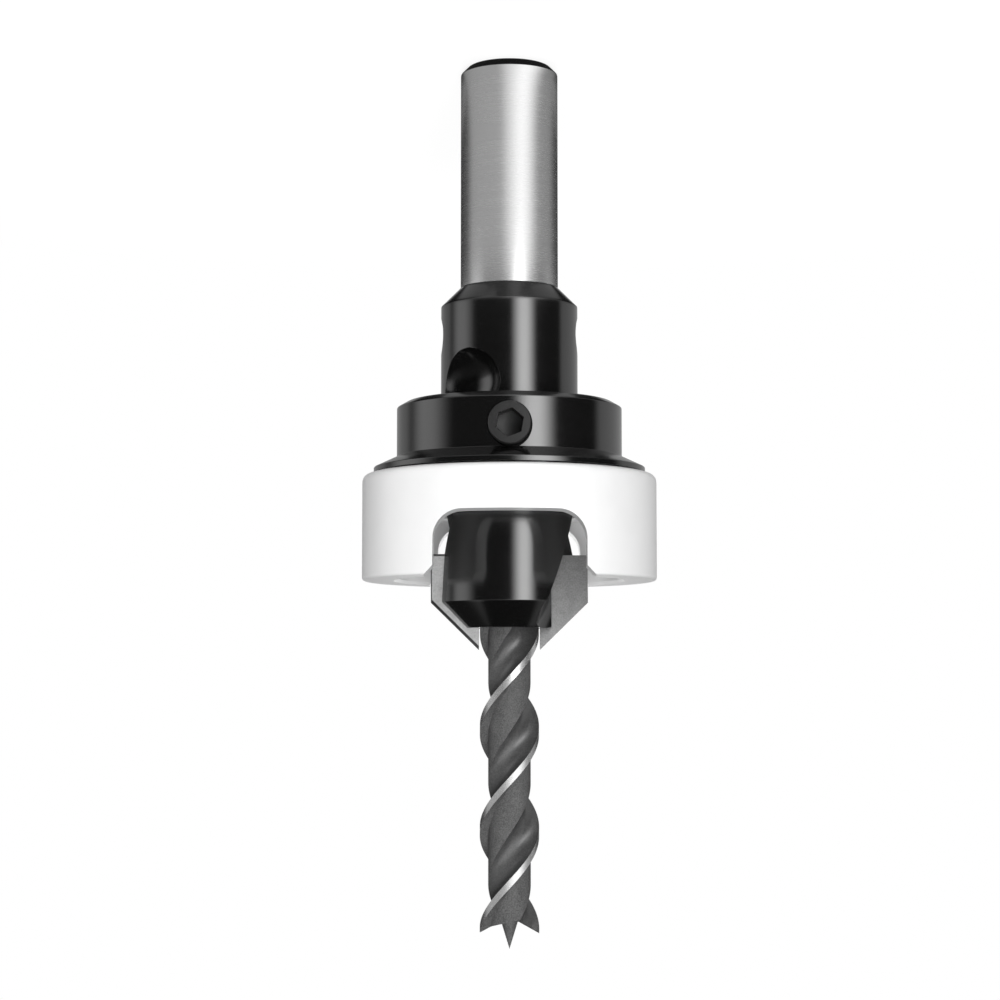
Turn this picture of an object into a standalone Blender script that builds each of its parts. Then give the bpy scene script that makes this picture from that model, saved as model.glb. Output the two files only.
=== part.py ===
"""Drill countersink with a free-running depth stop, standing on the end of its shank.

The axis is Z. It starts at the end of the shank, which is 0, and runs towards the drill's point.
Sizes are in millimetres in the values below and become metres where a mesh is made.
"""

import math

import bmesh
import bpy
from mathutils import Matrix, Vector

MM = 0.001
RIGHT, FRONT, LEFT = 0.0, -90.0, 180.0

# Facets round a turned piece, by how much of it can be seen, and on the smaller curves
FINE_STEPS = 64
BEARING_STEPS = 40
SCREW_STEPS = 24
POCKET_STEPS = 8
FILLET_STEPS = 4
CORNER_STEPS = 6
BALL_SEGMENTS = 10
BALL_RINGS = 6

# Edges that turn by less than this are drawn round
SMOOTH_BELOW = 35.0

# How far a cutter runs past the surface that it opens
OVERCUT = 1.0

# Running and locating clearances, on the radius or along the axis
SLIDE_FIT = 0.05
PRESS_FIT = 0.05
BRAZE_GAP = 0.05
THREAD_FIT = 0.05

# Shank and body, turned in one piece
SHANK_RADIUS = 5.0
SHANK_LENGTH = 23.1
SHANK_CHAMFER = 0.8
BODY_RADIUS = 7.0
BODY_LENGTH = 32.3
NOSE_RADIUS = 4.4
BORE_POINT_ANGLE = 118.0
BORE_SPARE_DEPTH = 6.2

# Two chip flutes, run out with a round-nosed cutter from an offset above the start of the body
FLUTE_COUNT = 2
FLUTE_LEAD = 94.0
FLUTE_CUTTER_RADIUS = 4.2
FLUTE_FLOOR_RADIUS = 4.2
FLUTE_OFFSET = 8.9
FLUTE_AHEAD = 27.7
FLUTE_ROW_STEP = 1.4
FLUTE_END_STEPS = 5
FLUTE_CUTTER_SIDES = 26

# Carbide tips, brazed in seats behind the flutes
TIP_RADIUS = 8.0
TIP_THICKNESS = 1.5
TIP_LENGTH = 5.0
COUNTERSINK_ANGLE = 90.0
TIP_AXIAL_RAKE = 11.0
TIP_CLEARANCE_ANGLE = 6.0
TIP_DRILL_GAP = 0.1
SEAT_FRONT = 1.5

# Drill, held in the bore by two grub screws, with a length of its shank behind them
DRILL_RADIUS = 3.0
DRILL_LENGTH = 72.0
DRILL_BEHIND_SCREWS = 9.8
DRILL_REAR_CHAMFER = 0.4
DRILL_LEAD = 20.3
DRILL_LAND_RADIUS = 2.15
DRILL_MARGIN_ANGLE = 16.0
DRILL_STEP_ANGLE = 1.5
DRILL_FLUTE_ANGLE = 78.0
DRILL_FLUTE_ARC_RADIUS = 2.4
DRILL_FLUTED_LENGTH = 45.0
DRILL_RUNOUT = 4.0
DRILL_ROW_STEP = 1.3
DRILL_MARGIN_STEPS = 2
DRILL_LAND_STEPS = 6
DRILL_FLUTE_STEPS = 8
DRILL_SPUR_DROP = 1.6
DRILL_VALLEY_DROP = 2.5
DRILL_POINT_RADIUS = 0.85
DRILL_LIP_RELIEF = 10.0

# Grub screws, with each thread taken at its mean diameter. The drill's pair is offset from the body's start
DRILL_SCREW_RADIUS = 1.75
DRILL_SCREW_LENGTH = 3.0
DRILL_SCREW_SOCKET = 2.0
DRILL_SCREW_OFFSET = 2.9
COLLAR_SCREW_RADIUS = 2.15
COLLAR_SCREW_LENGTH = 5.0
COLLAR_SCREW_SOCKET = 2.5
SCREW_CHAMFER = 0.3
SOCKET_DEPTH_SHARE = 0.45
SOCKET_TURN = 9.0

# Collar, clamped to the body behind the tips, with a flange over the bearing and a neck through it
COLLAR_SETBACK = 20.4
COLLAR_WALL = 4.45
COLLAR_LENGTH = 5.6
COLLAR_CHAMFER_WIDTH = 1.0
COLLAR_CHAMFER_HEIGHT = 0.58
COLLAR_SCREW_DEPTH = 3.3
FLANGE_WALL = 1.95
FLANGE_CONE = 1.1
FLANGE_RIM = 0.54
RECESS_DEPTH = 0.8
RECESS_GAP = 0.4
SHOULDER_WIDTH = 0.8
SHOULDER_HEIGHT = 0.35
NECK_WALL = 1.4
EDGE_BREAK = 0.3

# Thin ball bearing
BEARING_SECTION = 3.0
BEARING_WIDTH = 4.0
BALL_RADIUS = 0.794
BALL_COUNT = 16
RACE_GAP = 0.09
RACE_SHOULDER_GAP = 0.55
CAGE_WALL = 0.6
CAGE_WIDTH = 2.2
CAGE_POCKET_GAP = 0.08
SHIELD_THICKNESS = 0.25
SHIELD_SEAT_DEPTH = 0.4
SHIELD_SEAT_STEP = 0.35
SHIELD_RUNNING_GAP = 0.12

# Plastic ring that bears on the work and stops turning when it touches
RING_WALL = 3.5
RING_HEIGHT = 10.8
RING_GAP = 0.16
RING_TOP_FILLET = 0.9
RING_FOOT_FILLET = 0.4
RING_WEB = 0.65
RING_BODY_GAP = 0.5
WINDOW_WIDTH = 15.0
WINDOW_TOP = 4.5
WINDOW_CORNER_RADIUS = 2.8
WINDOW_MOUTH_CHAMFER = 0.9

# Worked out from the sizes above
BODY_START = SHANK_LENGTH + BODY_RADIUS - SHANK_RADIUS
HEAD_CORNER = SHANK_LENGTH + BODY_LENGTH
NOSE_END = HEAD_CORNER + BODY_RADIUS - NOSE_RADIUS
BORE_RADIUS = DRILL_RADIUS + SLIDE_FIT
FLUTE_START = BODY_START + FLUTE_OFFSET
FLUTE_AXIS_RADIUS = FLUTE_FLOOR_RADIUS + FLUTE_CUTTER_RADIUS
TIP_INNER_RADIUS = DRILL_RADIUS + TIP_DRILL_GAP
DRILL_SCREW_PLACE = BODY_START + DRILL_SCREW_OFFSET
DRILL_REAR = DRILL_SCREW_PLACE - DRILL_BEHIND_SCREWS
DRILL_POINT = DRILL_REAR + DRILL_LENGTH
BORE_FLOOR = DRILL_REAR - BORE_SPARE_DEPTH
COLLAR_PLACE = HEAD_CORNER - COLLAR_SETBACK
COLLAR_BORE_RADIUS = BODY_RADIUS + SLIDE_FIT
COLLAR_RADIUS = COLLAR_BORE_RADIUS + COLLAR_WALL
NECK_RADIUS = COLLAR_BORE_RADIUS + NECK_WALL
BEARING_BORE_RADIUS = NECK_RADIUS + PRESS_FIT
BEARING_RADIUS = BEARING_BORE_RADIUS + BEARING_SECTION
SHOULDER_RADIUS = BEARING_BORE_RADIUS + SHOULDER_WIDTH
RECESS_RADIUS = BEARING_RADIUS + RECESS_GAP
FLANGE_RADIUS = RECESS_RADIUS + FLANGE_WALL
RING_SKIRT_BORE = BEARING_RADIUS
RING_RADIUS = RING_SKIRT_BORE + RING_WALL
RING_WEB_BORE = BODY_RADIUS + RING_BODY_GAP
FLANGE_FACE = COLLAR_LENGTH + FLANGE_CONE + FLANGE_RIM
RECESS_FLOOR = FLANGE_FACE - RECESS_DEPTH
SHOULDER = RECESS_FLOOR + SHOULDER_HEIGHT
BALL_CIRCLE_RADIUS = (BEARING_BORE_RADIUS + BEARING_RADIUS) / 2
BEARING_PLACE = COLLAR_PLACE + SHOULDER + PRESS_FIT
RING_PLACE = COLLAR_PLACE + FLANGE_FACE + RING_GAP
RING_POCKET_DEPTH = BEARING_PLACE + BEARING_WIDTH + PRESS_FIT - RING_PLACE


def clear_scene():
    for thing in list(bpy.data.objects):
        bpy.data.objects.remove(thing)


def material(name, colour, roughness, metallic):
    finish = bpy.data.materials.new(name)
    finish.use_nodes = True
    shader = finish.node_tree.nodes["Principled BSDF"]
    shader.inputs["Base Color"].default_value = (*colour, 1.0)
    shader.inputs["Roughness"].default_value = roughness
    shader.inputs["Metallic"].default_value = metallic
    finish.diffuse_color = (*colour, 1.0)
    return finish


def blackened_steel():
    return material("blackened_steel", (0.012, 0.012, 0.012), 0.22, 0.6)


def ground_steel():
    return material("ground_steel", (0.62, 0.62, 0.62), 0.25, 1.0)


def drill_steel():
    return material("drill_steel", (0.12, 0.12, 0.12), 0.5, 0.8)


def carbide():
    return material("carbide", (0.34, 0.34, 0.34), 0.42, 0.9)


def screw_steel():
    return material("screw_steel", (0.035, 0.035, 0.035), 0.4, 0.6)


def bearing_steel():
    return material("bearing_steel", (0.55, 0.56, 0.58), 0.15, 1.0)


def cage_plastic():
    return material("cage_plastic", (0.05, 0.05, 0.055), 0.5, 0.0)


def white_plastic():
    return material("white_plastic", (0.86, 0.86, 0.86), 0.4, 0.0)


def polar(radius, degrees, height=0.0):
    """The point at this radius and angle round the axis, and at this height."""
    angle = math.radians(degrees)
    return Vector((radius * math.cos(angle), radius * math.sin(angle), height))


def helix_angle(height, lead):
    """How far a right-hand helix has turned at this height, in degrees."""
    return 360.0 * height / lead


def spread(start, end, steps):
    """Equal steps from one value to the other, with both ends."""
    return [start + (end - start) * step / steps for step in range(steps + 1)]


def arc(centre, radius, start, end, steps):
    """Points on an arc in a flat outline, from one angle to the other in degrees."""
    angles = [math.radians(angle) for angle in spread(start, end, steps)]
    return [(centre[0] + radius * math.cos(angle), centre[1] + radius * math.sin(angle)) for angle in angles]


def empty(name, height, parent=None):
    """A carrier on the axis at this height, whose children move with it."""
    carrier = bpy.data.objects.new(name, None)
    bpy.context.scene.collection.objects.link(carrier)
    carrier["height"] = height
    if parent is not None:
        carrier.parent = parent
        height -= parent["height"]
    carrier.location = (0, 0, height * MM)
    return carrier


def piece(name, shape, *finishes):
    """An object of this shape, in millimetres about its own origin, with smooth round faces."""
    bmesh.ops.scale(shape, vec=(MM, MM, MM), verts=shape.verts)
    bmesh.ops.recalc_face_normals(shape, faces=shape.faces)
    if shape.calc_volume(signed=True) < 0:
        bmesh.ops.reverse_faces(shape, faces=shape.faces)
    mesh = bpy.data.meshes.new(name)
    shape.to_mesh(mesh)
    shape.free()
    for finish in finishes:
        mesh.materials.append(finish)
    solid = bpy.data.objects.new(name, mesh)
    bpy.context.scene.collection.objects.link(solid)
    smooth(solid)
    return solid


def smooth(solid):
    solid.data.shade_smooth()
    solid.data.set_sharp_from_angle(angle=math.radians(SMOOTH_BELOW))


def seat(solid, carrier, place=(0, 0, 0), turn=(0, 0, 0)):
    """Puts a piece on its carrier, at a place in millimetres and a turn in degrees."""
    solid.parent = carrier
    solid.location = Vector(place) * MM
    solid.rotation_euler = [math.radians(angle) for angle in turn]
    return solid


def turned(profile, steps):
    """A solid turned from the (radius, height) corners of one half of its section."""
    shape = bmesh.new()
    corners = [shape.verts.new((radius, 0, height)) for radius, height in profile]
    ends = list(zip(corners, corners[1:]))
    if profile[0][0] > 0:
        ends.append((corners[-1], corners[0]))
    edges = [shape.edges.new(pair) for pair in ends]
    bmesh.ops.spin(shape, geom=corners + edges, axis=(0, 0, 1), angle=math.tau, steps=steps, use_merge=True)
    bmesh.ops.remove_doubles(shape, verts=shape.verts, dist=1e-5)
    return shape


def lofted(rings):
    """A solid skinned over rings of points, each closed on itself. A ring of one point is a pole."""
    shape = bmesh.new()
    rows = [[shape.verts.new(point) for point in ring] for ring in rings]
    for low, high in zip(rows, rows[1:]):
        for i in range(len(low)):
            j = (i + 1) % len(low)
            if len(high) == 1:
                shape.faces.new((low[i], low[j], high[0]))
            else:
                shape.faces.new((low[i], low[j], high[j]))
                shape.faces.new((low[i], high[j], high[i]))
    for end in (rows[0], rows[-1]):
        if len(end) > 1:
            shape.faces.new(end)
    return shape


def extruded(outline, depth):
    """A flat (x, z) outline pushed through along Y, half the depth to each side."""
    sides = [[Vector((x, y, z)) for x, z in outline] for y in (-depth / 2, depth / 2)]
    return lofted(sides)


def rod(radius, length, sides):
    """A plain round bar along Z, from 0 to its length."""
    return lofted([[polar(radius, 360 * i / sides, height) for i in range(sides)] for height in (0, length)])


def block(lows, highs):
    """A box between two opposite corners."""
    shape = bmesh.new()
    size = Vector(highs) - Vector(lows)
    middle = (Vector(highs) + Vector(lows)) / 2
    bmesh.ops.create_cube(shape, size=1.0)
    bmesh.ops.scale(shape, vec=size, verts=shape.verts)
    bmesh.ops.translate(shape, vec=middle, verts=shape.verts)
    return shape


def cut(solid, shapes):
    """Takes each shape out of the piece, one Boolean after the other, and marks the new edges."""
    cutters = []
    for number, shape in enumerate(shapes):
        cutter = piece(f"{solid.name}_cutter_{number}", shape)
        boolean = solid.modifiers.new(f"cut_{number}", "BOOLEAN")
        boolean.operation = "DIFFERENCE"
        boolean.solver = "EXACT"
        boolean.object = cutter
        cutters.append(cutter)
    graph = bpy.context.evaluated_depsgraph_get()
    finished = bpy.data.meshes.new_from_object(solid.evaluated_get(graph))
    solid.modifiers.clear()
    solid.data = finished
    for cutter in cutters:
        bpy.data.objects.remove(cutter)
    smooth(solid)


def body_profile():
    """Shank, body and nose on the outside, and the drill's blind bore with its drilled bottom."""
    bore_bottom = BORE_FLOOR - BORE_RADIUS / math.tan(math.radians(BORE_POINT_ANGLE / 2))
    return [
        (0, 0),
        (SHANK_RADIUS - SHANK_CHAMFER, 0),
        (SHANK_RADIUS, SHANK_CHAMFER),
        (SHANK_RADIUS, SHANK_LENGTH),
        (BODY_RADIUS, BODY_START),
        (BODY_RADIUS, HEAD_CORNER),
        (NOSE_RADIUS, NOSE_END),
        (BORE_RADIUS, NOSE_END),
        (BORE_RADIUS, BORE_FLOOR),
        (0, bore_bottom),
    ]


def flute_cutter(side):
    """The path of a round-nosed cutter along a helix: circles that grow through its end, then stay equal."""
    end = NOSE_END + OVERCUT
    rows = math.ceil((end - FLUTE_START) / FLUTE_ROW_STEP)
    quarter = [math.pi / 2 * step / FLUTE_END_STEPS for step in range(1, FLUTE_END_STEPS + 1)]
    heights = [FLUTE_START - FLUTE_CUTTER_RADIUS * math.cos(angle) for angle in quarter]
    heights += [FLUTE_START + (end - FLUTE_START) * row / rows for row in range(1, rows + 1)]
    phase = side + FLUTE_AHEAD - helix_angle(HEAD_CORNER, FLUTE_LEAD)
    rings = []
    for height in heights:
        short = max(0.0, FLUTE_START - height)
        radius = math.sqrt(FLUTE_CUTTER_RADIUS**2 - short**2)
        turn = helix_angle(max(height, FLUTE_START), FLUTE_LEAD)
        centre = polar(FLUTE_AXIS_RADIUS, phase + turn, height)
        sides = range(FLUTE_CUTTER_SIDES)
        rings.append([centre + polar(radius, 360 * i / FLUTE_CUTTER_SIDES) for i in sides])
    return lofted(rings)


def tip_frame(side):
    """The frame of a tip: X runs out from the axis, Y out of the rake face and Z towards the point."""
    turn = Matrix.Rotation(math.radians(side), 4, "Z")
    lean = Matrix.Rotation(math.radians(-TIP_AXIAL_RAKE), 4, "X")
    return turn @ Matrix.Translation((0, 0, HEAD_CORNER)) @ lean


def tip_outline(setback):
    """The tip's edges in its own frame, with the cutting edges set back for clearance behind them."""
    slope = 1 / math.tan(math.radians(COUNTERSINK_ANGLE / 2))
    rise = setback / math.sin(math.radians(COUNTERSINK_ANGLE / 2))
    nose = (NOSE_END - HEAD_CORNER + BRAZE_GAP) / math.cos(math.radians(TIP_AXIAL_RAKE))
    inner = FLUTE_FLOOR_RADIUS + BRAZE_GAP
    outer = TIP_RADIUS - setback
    return [
        (outer, -TIP_LENGTH),
        (outer, (TIP_RADIUS - outer) * slope - rise),
        (TIP_INNER_RADIUS, (TIP_RADIUS - TIP_INNER_RADIUS) * slope - rise),
        (TIP_INNER_RADIUS, nose),
        (inner, nose),
        (inner, -TIP_LENGTH),
    ]


def tip_shape():
    """A flat tip from its rake face, at Y = 0, to its smaller back face."""
    setback = TIP_THICKNESS * math.tan(math.radians(TIP_CLEARANCE_ANGLE))
    face = [Vector((x, 0, z)) for x, z in tip_outline(0.0)]
    back = [Vector((x, -TIP_THICKNESS, z)) for x, z in tip_outline(setback)]
    return lofted([face, back])


def tip_seat(side):
    """The milled seat of a tip: its own space with the brazing gap, open to the flute and outwards."""
    shape = block(
        (FLUTE_FLOOR_RADIUS, -TIP_THICKNESS - BRAZE_GAP, -TIP_LENGTH - BRAZE_GAP),
        (TIP_RADIUS + OVERCUT, SEAT_FRONT, NOSE_END - HEAD_CORNER + OVERCUT),
    )
    bmesh.ops.transform(shape, matrix=tip_frame(side), verts=shape.verts)
    return shape


def cross_hole(radius, start, end, direction, height, sides):
    """A round hole square to the axis, between two distances from it."""
    shape = rod(radius, end - start, sides)
    matrix = across(direction, start, height)
    bmesh.ops.transform(shape, matrix=matrix, verts=shape.verts)
    return shape


def across(direction, distance, height):
    """The frame of something that points straight out from the axis, with its Z outwards."""
    turn = Matrix.Rotation(math.radians(direction), 4, "Z")
    lay = Matrix.Rotation(math.radians(90), 4, "Y")
    return turn @ Matrix.Translation((distance, 0, height)) @ lay


def tool_body(carrier):
    body = piece("tool_body", turned(body_profile(), FINE_STEPS), blackened_steel(), ground_steel())
    for face in body.data.polygons:
        height = face.center.z / MM
        face.material_index = int(SHANK_CHAMFER < height < SHANK_LENGTH and face.normal.z == 0)
    radius, outside = DRILL_SCREW_RADIUS + THREAD_FIT, BODY_RADIUS + OVERCUT
    holes = [
        cross_hole(radius, DRILL_RADIUS / 2, outside, side, DRILL_SCREW_PLACE, SCREW_STEPS)
        for side in (RIGHT, LEFT)
    ]
    flutes = [flute_cutter(number * 360 / FLUTE_COUNT) for number in range(FLUTE_COUNT)]
    seats = [tip_seat(number * 360 / FLUTE_COUNT) for number in range(FLUTE_COUNT)]
    cut(body, holes + flutes + seats)
    return seat(body, carrier)


def carbide_tips(carrier):
    finish = carbide()
    for number in range(FLUTE_COUNT):
        tip = piece(f"carbide_tip_{number + 1}", tip_shape(), finish)
        seat(tip, carrier)
        tip.matrix_local = scaled_place(tip_frame(number * 360 / FLUTE_COUNT))


def scaled_place(matrix):
    """The same frame with its place in metres."""
    place = matrix.copy()
    place.translation = matrix.translation * MM
    return place


def drill_section():
    """One half of the drill's section as (radius, angle behind the cutting edge): margin, land, flute."""
    land_start = DRILL_MARGIN_ANGLE + DRILL_STEP_ANGLE
    land_end = 180.0 - DRILL_FLUTE_ANGLE
    margin = [(DRILL_RADIUS, angle) for angle in spread(0.0, DRILL_MARGIN_ANGLE, DRILL_MARGIN_STEPS)]
    land = [(DRILL_LAND_RADIUS, angle) for angle in spread(land_start, land_end, DRILL_LAND_STEPS)]
    return margin + land + drill_flute(land_end, 180.0)


def drill_flute(start, end):
    """The hollow between the land's end and the next cutting edge: an arc that bows towards the axis."""
    low, high = polar(DRILL_LAND_RADIUS, start), polar(DRILL_RADIUS, end)
    chord = high - low
    out = Vector((chord.y, -chord.x, 0)).normalized()
    centre = (low + high) / 2 + out * math.sqrt(DRILL_FLUTE_ARC_RADIUS**2 - chord.length_squared / 4)
    first = math.degrees(math.atan2(low.y - centre.y, low.x - centre.x))
    last = math.degrees(math.atan2(high.y - centre.y, high.x - centre.x))
    sweep = (last - first + 180) % 360 - 180
    points = arc(centre, DRILL_FLUTE_ARC_RADIUS, first, first + sweep, DRILL_FLUTE_STEPS)[1:-1]
    return [(math.hypot(x, y), math.degrees(math.atan2(y, x)) % 360) for x, y in points]


def lip_height(radius, behind):
    """Height of the drill's end: a centre point, then lips that rise to the spurs and fall away behind."""
    if radius < DRILL_POINT_RADIUS:
        return DRILL_POINT - DRILL_VALLEY_DROP * radius / DRILL_POINT_RADIUS
    share = (radius - DRILL_POINT_RADIUS) / (DRILL_RADIUS - DRILL_POINT_RADIUS)
    lip = DRILL_POINT - DRILL_VALLEY_DROP + (DRILL_VALLEY_DROP - DRILL_SPUR_DROP) * share
    land_end = 180.0 - DRILL_FLUTE_ANGLE
    fall = behind if behind <= land_end else land_end * (180.0 - behind) / DRILL_FLUTE_ANGLE
    slope = math.tan(math.radians(DRILL_LIP_RELIEF))
    return lip - (radius - DRILL_POINT_RADIUS) * math.radians(fall) * slope


def drill_ring(spots, radii, heights, levels):
    """A ring of the drill, with each spot of the section turned as far as the helix has at its level."""
    # The middle of each margin comes to one side at the height of the spurs.
    phase = RIGHT + DRILL_MARGIN_ANGLE / 2 - helix_angle(DRILL_POINT - DRILL_SPUR_DROP, DRILL_LEAD)
    turns = [phase + side - behind for _, behind, side in spots]
    return [
        polar(radius, turn + helix_angle(level, DRILL_LEAD), height)
        for radius, turn, level, height in zip(radii, turns, levels, heights)
    ]


def drill_fluting(spots, tops, fluted):
    """Rings from the end of the plain shank to the lips, with the flutes sinking in over the run-out."""
    rings = []
    rows = math.ceil((DRILL_FLUTED_LENGTH - DRILL_VALLEY_DROP) / DRILL_ROW_STEP)
    for row in range(rows + 1):
        heights = [fluted + (top - fluted) * row / rows for top in tops]
        along = min(1.0, (heights[0] - fluted) / DRILL_RUNOUT)
        depth = along * along * (3 - 2 * along)
        radii = [DRILL_RADIUS + (radius - DRILL_RADIUS) * depth for radius, _, _ in spots]
        rings.append(drill_ring(spots, radii, heights, heights))
    return rings


def drill_shape():
    """A plain shank, then the section twisted along a right-hand helix, ended by lips and a centre point."""
    spots = [(radius, behind, side) for side in (0, 180) for radius, behind in drill_section()]
    tops = [lip_height(radius, behind) for radius, behind, _ in spots]
    fluted = DRILL_POINT - DRILL_FLUTED_LENGTH
    rings = drill_fluting(spots, tops, fluted)
    shank = []
    for radius, height in (
        (DRILL_RADIUS - DRILL_REAR_CHAMFER, DRILL_REAR),
        (DRILL_RADIUS, DRILL_REAR + DRILL_REAR_CHAMFER),
    ):
        count = len(spots)
        shank.append(drill_ring(spots, [radius] * count, [height] * count, [fluted] * count))
    feet = [lip_height(DRILL_POINT_RADIUS, behind) for _, behind, _ in spots]
    point = drill_ring(spots, [DRILL_POINT_RADIUS] * len(spots), feet, tops)
    return lofted(shank + rings + [point, [Vector((0, 0, DRILL_POINT))]])


def drill_bit(carrier):
    return seat(piece("drill_bit", drill_shape(), drill_steel()), carrier, (0, 0, -carrier["height"]))


def grub_screw(name, radius, length, socket, finish):
    """A headless screw that starts at 0, with a hexagon socket in its outer end."""
    profile = [
        (0, 0),
        (radius - SCREW_CHAMFER, 0),
        (radius, SCREW_CHAMFER),
        (radius, length - SCREW_CHAMFER),
        (radius - SCREW_CHAMFER, length),
        (0, length),
    ]
    screw = piece(name, turned(profile, SCREW_STEPS), finish)
    corner = socket / 2 / math.cos(math.radians(30))
    depth = length * SOCKET_DEPTH_SHARE
    ends = (length - depth, length + OVERCUT)
    hexagon = [[polar(corner, 60 * i + SOCKET_TURN, height) for i in range(6)] for height in ends]
    cut(screw, [lofted(hexagon)])
    return screw


def drill_clamp_screws(carrier):
    finish = screw_steel()
    for number, side in enumerate((RIGHT, LEFT)):
        name = f"drill_clamp_screw_{number + 1}"
        screw = grub_screw(name, DRILL_SCREW_RADIUS, DRILL_SCREW_LENGTH, DRILL_SCREW_SOCKET, finish)
        seat(screw, carrier)
        screw.matrix_local = scaled_place(across(side, BORE_RADIUS + THREAD_FIT, DRILL_SCREW_PLACE))


def collar_profile():
    """Collar and flange outside, a recess and shoulder under the flange, then the neck and the bore."""
    neck_end = SHOULDER + BEARING_WIDTH
    return [
        (COLLAR_BORE_RADIUS + EDGE_BREAK, 0),
        (COLLAR_RADIUS - COLLAR_CHAMFER_WIDTH, 0),
        (COLLAR_RADIUS, COLLAR_CHAMFER_HEIGHT),
        (COLLAR_RADIUS, COLLAR_LENGTH),
        (FLANGE_RADIUS, COLLAR_LENGTH + FLANGE_CONE),
        (FLANGE_RADIUS, FLANGE_FACE),
        (RECESS_RADIUS, FLANGE_FACE),
        (RECESS_RADIUS, RECESS_FLOOR),
        (SHOULDER_RADIUS, RECESS_FLOOR),
        (SHOULDER_RADIUS, SHOULDER),
        (NECK_RADIUS, SHOULDER),
        (NECK_RADIUS, neck_end - EDGE_BREAK),
        (NECK_RADIUS - EDGE_BREAK, neck_end),
        (COLLAR_BORE_RADIUS + EDGE_BREAK, neck_end),
        (COLLAR_BORE_RADIUS, neck_end - EDGE_BREAK),
        (COLLAR_BORE_RADIUS, EDGE_BREAK),
    ]


def stop_collar(carrier):
    collar = piece("stop_collar", turned(collar_profile(), FINE_STEPS), blackened_steel())
    radius, outside = COLLAR_SCREW_RADIUS + THREAD_FIT, COLLAR_RADIUS + OVERCUT
    cut(collar, [cross_hole(radius, BODY_RADIUS / 2, outside, FRONT, COLLAR_SCREW_DEPTH, SCREW_STEPS)])
    return seat(collar, carrier)


def collar_clamp_screw(carrier):
    size = (COLLAR_SCREW_RADIUS, COLLAR_SCREW_LENGTH, COLLAR_SCREW_SOCKET)
    screw = grub_screw("collar_clamp_screw", *size, screw_steel())
    seat(screw, carrier)
    screw.matrix_local = scaled_place(across(FRONT, BODY_RADIUS + THREAD_FIT, COLLAR_SCREW_DEPTH))


def race(bore, outside, groove_side):
    """A bearing ring's section, with a round groove for the balls on one side."""
    middle = BEARING_WIDTH / 2
    radius = BALL_RADIUS + RACE_GAP
    half = math.degrees(math.acos(RACE_SHOULDER_GAP / radius))
    toward = 180.0 if groove_side < 0 else 0.0
    groove = arc((BALL_CIRCLE_RADIUS, middle), radius, toward + half, toward - half, FILLET_STEPS)
    if groove_side < 0:
        return [(bore, BEARING_WIDTH), (bore, 0), (outside, 0)] + groove + [(outside, BEARING_WIDTH)]
    step, depth = bore + SHIELD_SEAT_STEP, SHIELD_SEAT_DEPTH
    upper = [(outside, 0), (outside, BEARING_WIDTH), (step, BEARING_WIDTH), (step, BEARING_WIDTH - depth)]
    lower = [(bore, depth), (step, depth), (step, 0)]
    return upper + [(bore, BEARING_WIDTH - depth)] + groove + lower


def bearing_rings(collar_carrier, ring_carrier, finish):
    inner = race(BEARING_BORE_RADIUS, BALL_CIRCLE_RADIUS - RACE_SHOULDER_GAP, -1)
    outer = race(BALL_CIRCLE_RADIUS + RACE_SHOULDER_GAP, BEARING_RADIUS, 1)
    inside = piece("bearing_inner_ring", turned(inner, BEARING_STEPS), finish)
    seat(inside, collar_carrier, (0, 0, BEARING_PLACE - COLLAR_PLACE))
    outside = piece("bearing_outer_ring", turned(outer, BEARING_STEPS), finish)
    seat(outside, ring_carrier, (0, 0, BEARING_PLACE - RING_PLACE))


def bearing_shields(carrier, finish):
    """Two thin washers pressed into the outer ring, clear of the inner one."""
    inner = BALL_CIRCLE_RADIUS - RACE_SHOULDER_GAP + SHIELD_RUNNING_GAP
    outer = BALL_CIRCLE_RADIUS + RACE_SHOULDER_GAP + SHIELD_SEAT_STEP - PRESS_FIT
    low = SHIELD_SEAT_DEPTH - PRESS_FIT - SHIELD_THICKNESS
    high = BEARING_WIDTH - SHIELD_SEAT_DEPTH + PRESS_FIT
    for number, start in enumerate((low, high)):
        end = start + SHIELD_THICKNESS
        profile = [(inner, start), (outer, start), (outer, end), (inner, end)]
        shield = piece(f"bearing_shield_{number + 1}", turned(profile, BEARING_STEPS), finish)
        seat(shield, carrier, (0, 0, BEARING_PLACE - RING_PLACE))


def bearing_cage(carrier):
    """A thin ring between the races, with a round pocket for each ball."""
    inner, outer = BALL_CIRCLE_RADIUS - CAGE_WALL / 2, BALL_CIRCLE_RADIUS + CAGE_WALL / 2
    half = CAGE_WIDTH / 2
    profile = [(inner, -half), (outer, -half), (outer, half), (inner, half)]
    cage = piece("bearing_cage", turned(profile, BEARING_STEPS), cage_plastic())
    ends = (inner - OVERCUT, outer + OVERCUT)
    turns = [360 * number / BALL_COUNT for number in range(BALL_COUNT)]
    radius = BALL_RADIUS + CAGE_POCKET_GAP
    cut(cage, [cross_hole(radius, *ends, turn, 0, POCKET_STEPS) for turn in turns])
    return seat(cage, carrier)


def bearing_balls(carrier, finish):
    shape = bmesh.new()
    bmesh.ops.create_uvsphere(shape, u_segments=BALL_SEGMENTS, v_segments=BALL_RINGS, radius=BALL_RADIUS)
    first = piece("bearing_ball_01", shape, finish)
    for number in range(BALL_COUNT):
        ball = first if number == 0 else bpy.data.objects.new(f"bearing_ball_{number + 1:02d}", first.data)
        if number:
            bpy.context.scene.collection.objects.link(ball)
        turn = 360 * number / BALL_COUNT
        seat(ball, carrier, polar(BALL_CIRCLE_RADIUS, turn), (0, 0, turn))


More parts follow.
